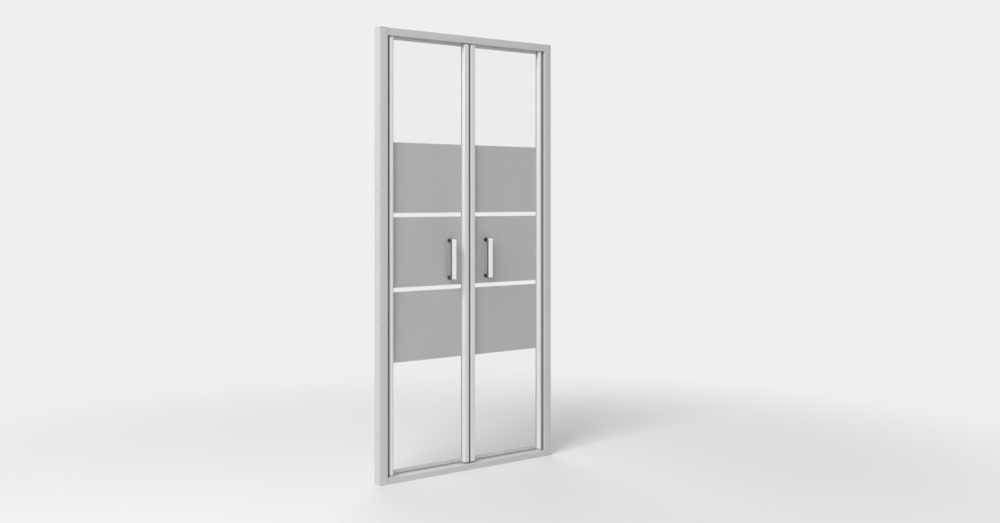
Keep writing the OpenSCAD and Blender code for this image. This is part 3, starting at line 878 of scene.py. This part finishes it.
def model_snap_caps():
    low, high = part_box("right_screw_covers")
    radius = (high.x - low.x) / 2
    x, z, deep = (low.x + high.x) / 2, low.z + radius, high.y - low.y
    caps = add_rod("right_snap_caps", (x, (low.y + high.y) / 2, z), radius, deep)
    bevel(caps, edges_at(high.y), CAP_DOME, segments=6)
    choose(caps, faces=lambda face: face.center.y < low.y + SAME_PLACE)
    bpy.ops.mesh.inset(thickness=CAP_WALL)
    bpy.ops.mesh.extrude_region_move(TRANSFORM_OT_translate={"value": (0, deep - CAP_WALL, 0)})
    leave_edit()
    slot_low = (x - SLOT_WIDTH / 2, low.y - SLOT_BEFORE, low.z - SLOT_BEFORE)
    slot_high = (x + SLOT_WIDTH / 2, low.y + SLOT_HEIGHT, low.z + CAP_WALL + SLOT_BEHIND)
    cut(caps, add_box("slot", slot_low, slot_high))
    middle = (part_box("head_rail")[1].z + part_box("sill_rail")[0].z) / 2
    repeat_upwards(caps, [middle - z, high.z - radius - z])
    smooth(caps, degrees=40)
    return caps


dress_both(model_snap_caps(), white_plastic, "frame", "screw_covers")

# %% [markdown]
# ## Softened edges
#
# The frame's profiles and the moulded pieces have sharp corners in the CAD, and no real piece has: an
# edge without a rounding catches no light. A CAD mesh is loose triangles and is left alone, so a copy is
# merged, its flat faces are made whole again, and its sharp edges get a bevel of a few tenths of a
# millimetre. A bevel bends the shading of the flat faces beside it, so the normals are then weighted by
# each face's size, which keeps the broad faces flat.

# %% Soften the frame and the moulded pieces
MERGE_DISTANCE = 1e-6
FLAT_ANGLE = math.radians(0.5)
SHARP_ANGLE = math.radians(28)


def softened(node, width):
    """A merged copy of a CAD node with its sharp edges rounded."""
    piece = bpy.data.objects.new(node + "_soft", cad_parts[node].data.copy())
    bpy.context.collection.objects.link(piece)
    only(piece)
    bpy.ops.mesh.customdata_custom_splitnormals_clear()
    choose(piece, faces=everything)
    bpy.ops.mesh.remove_doubles(threshold=MERGE_DISTANCE)
    bpy.ops.mesh.dissolve_limited(angle_limit=FLAT_ANGLE)
    leave_edit()
    finish_with(
        piece, "BEVEL", width=width, segments=3, limit_method="ANGLE", angle_limit=SHARP_ANGLE,
        use_clamp_overlap=True,
    )
    smooth(piece, degrees=30)
    finish_with(piece, "WEIGHTED_NORMAL", keep_sharp=True)
    return piece


SOFT_EDGES = {
    "wall_channel": (0.0004, frame_coat_painted_shade, "white_paint", "frame"),
    "jamb": (0.0005, frame_coat_painted_shade, "white_paint", "frame"),
    "top_cap": (0.0005, white_plastic, "white_plastic", "frame"),
    "upper_bearing": (0.0004, nylon, "nylon", "frame"),
    "lower_bearing": (0.0004, nylon, "nylon", "frame"),
    "meeting_caps": (0.0004, white_plastic, "white_plastic", "leaf"),
    "head_rail": (0.0005, frame_coat_painted_shade, "white_paint", "frame"),
    "sill_rail": (0.0005, frame_coat_painted_shade, "white_paint", "frame"),
}

for kind, (width, material, slot, body) in SOFT_EDGES.items():
    for side in ("left_", "right_", ""):
        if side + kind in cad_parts:
            dress(softened(side + kind, width), material, on_side(side, body), side + kind)
    print("softened:", kind, "by", width)

# %% [markdown]
# ## Finishes for the pieces that keep their CAD shape
#
# The stiles, seals, pins and screws already have their true sections, so they stay as the CAD made them
# and only get a finish. The table says which finish belongs to which kind of piece.

# %% Give the CAD pieces their finishes
FINISH_OF = {
    "wall_channel": frame_coat_painted_shade,
    "jamb": frame_coat_painted_shade,
    "head_rail": frame_coat_painted_shade,
    "sill_rail": frame_coat_painted_shade,
    "hinge_stile": leaf_coat,
    "meeting_stile": leaf_coat,
    "top_cap": white_plastic,
    "screw_covers": white_plastic,
    "meeting_caps": white_plastic,
    "clamp_screws": steel,
    "corner_screws": steel,
    "handle_screws": steel,
    "upper_pin": steel,
    "lower_pin": steel,
    "upper_bearing": nylon,
    "lower_bearing": nylon,
    "upper_plug": nylon,
    "lower_plug": nylon,
    "handle_sleeves": nylon,
    "jamb_seal": dark_rubber,
    "head_stop_strip": clear_seal,
    "hinge_gasket": pale_gasket,
    "meeting_gasket": pale_gasket,
    "top_seal": clear_seal,
    "magnet_strip": magnet_rubber,
    "sill_upstand": clear_seal,
    "drip_seal": clear_seal,
    "glass": glass,
    "frosted_bands": frosting,
    "handle": chrome,
    "handle_spacers": dark_plastic,
    "backplates": chrome,
}


def plain_name(node):
    """The node's name without its side."""
    return node.removeprefix("left_").removeprefix("right_")


for name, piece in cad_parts.items():
    piece.data.materials.clear()
    piece.data.materials.append(FINISH_OF[plain_name(name)])
print("finished nodes:", len(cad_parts))

# %% [markdown]
# ## Pale surroundings
#
# The world gives even light from all sides, and is also what shows behind the glass. More light would
# make it whiter, but would wash out the door. So it is bright for rays that come from the camera, a
# reflection or the glass, and dimmer for the light that falls on the door. Reflections see it a little
# brighter still, because polished metal lives on what it mirrors.

# %% Light the world
BACKGROUND = (0.86, 0.865, 0.87)
WORLD_LIGHT = 0.48
MIRRORED_EXTRA = 0.16


def seen_directly(tree, path):
    """1 for what the camera, a reflection or a view through glass sees, and 0 for light."""
    first = add_node(tree, "ShaderNodeMath", operation="MAXIMUM")
    second = add_node(tree, "ShaderNodeMath", operation="MAXIMUM")
    tree.links.new(path.outputs["Is Camera Ray"], first.inputs[0])
    tree.links.new(path.outputs["Is Glossy Ray"], first.inputs[1])
    tree.links.new(first.outputs[0], second.inputs[0])
    tree.links.new(path.outputs["Is Transmission Ray"], second.inputs[1])
    return second.outputs[0]


def mirrored_only(tree, path):
    """1 for what a reflection sees. A ray bent by glass also counts as glossy, so it is taken off."""
    less = add_node(tree, "ShaderNodeMath", operation="SUBTRACT", use_clamp=True)
    tree.links.new(path.outputs["Is Glossy Ray"], less.inputs[0])
    tree.links.new(path.outputs["Is Transmission Ray"], less.inputs[1])
    return less.outputs[0]


def light_the_world():
    world = bpy.data.worlds.new("pale_room")
    bpy.context.scene.world = world
    world.use_nodes = True
    tree = world.node_tree
    background = tree.nodes["Background"]
    background.inputs["Color"].default_value = (*BACKGROUND, 1)
    path = add_node(tree, "ShaderNodeLightPath")
    strength = add_node(tree, "ShaderNodeMapRange", {"To Min": WORLD_LIGHT, "To Max": 1.0})
    whiter = add_node(tree, "ShaderNodeMath", {1: MIRRORED_EXTRA}, operation="MULTIPLY_ADD")
    tree.links.new(seen_directly(tree, path), strength.inputs["Value"])
    tree.links.new(mirrored_only(tree, path), whiter.inputs[0])
    tree.links.new(strength.outputs["Result"], whiter.inputs[2])
    tree.links.new(whiter.outputs[0], background.inputs["Strength"])


light_the_world()
print("world light:", WORLD_LIGHT)

# %% [markdown]
# ## The floor
#
# A pale floor takes the door's shadow. A plain one would end in a hard line behind the glass, and a
# curved backdrop would be mirrored in the panes. So the floor is a disc that turns transparent away from
# the door, until only the surroundings are left and no horizon shows.

# %% Floor that fades out
FLOOR_RADIUS = 3.4
FADE_START = 1.2
FADE_END = 3.3
FLOOR_SIDES = 96
FLOOR_COLOR = (0.80, 0.80, 0.805)


def fade_out(tree, shader, place):
    """Mixes the shader with a transparent one, by the distance from the origin."""
    distance = add_node(tree, "ShaderNodeVectorMath", operation="LENGTH")
    fade = add_node(
        tree, "ShaderNodeMapRange", {"From Min": FADE_START, "From Max": FADE_END},
        interpolation_type="SMOOTHSTEP",
    )
    clear = add_node(tree, "ShaderNodeBsdfTransparent")
    mix = add_node(tree, "ShaderNodeMixShader")
    link = tree.links.new
    link(place, distance.inputs[0])
    link(distance.outputs["Value"], fade.inputs["Value"])
    link(fade.outputs["Result"], mix.inputs["Fac"])
    link(shader.outputs["BSDF"], mix.inputs[1])
    link(clear.outputs["BSDF"], mix.inputs[2])
    link(mix.outputs["Shader"], tree.nodes["Material Output"].inputs["Surface"])


def lay_floor():
    clear_selection()
    bpy.ops.mesh.primitive_circle_add(
        vertices=FLOOR_SIDES, radius=FLOOR_RADIUS, fill_type="NGON", location=(0, 0, 0)
    )
    floor = bpy.context.object
    floor.name = "floor"
    material, tree, shader, place = new_material(
        "pale_floor", Base_Color=(*FLOOR_COLOR, 1), Roughness=0.9, Specular_IOR_Level=0.0
    )
    fade_out(tree, shader, place)
    floor.data.materials.append(material)


lay_floor()
print("floor radius:", FLOOR_RADIUS)

# %% [markdown]
# ## The lamps
#
# The main lamp is a large soft one, high up on the left. It makes the sloping sill, the rail's upper edge
# and the left-hand roundings of the stiles brighter than the flat fronts. A small lamp would draw hard
# shadows behind the handles. A weak lamp high behind the door lights the back. Both hang where the panes
# don't mirror them towards the camera.

# %% Soft lamps
LAMP_AIM = Vector((0, 0, 1.0))


def add_lamp(name, place, size, power):
    """A soft square lamp that looks at the middle of the door."""
    clear_selection()
    bpy.ops.object.light_add(type="AREA", location=place)
    lamp = bpy.context.object
    lamp.name = name
    lamp.data.shape = "SQUARE"
    lamp.data.size = size
    lamp.data.energy = power
    lamp.rotation_euler = (LAMP_AIM - Vector(place)).to_track_quat("-Z", "Y").to_euler()


add_lamp("high_left_lamp", (-5.2, -2.4, 5.6), size=3.6, power=430)
add_lamp("high_back_lamp", (2.0, 3.6, 4.6), size=2.6, power=80)
bpy.context.scene.view_settings.view_transform = "Standard"
print("lamps placed")
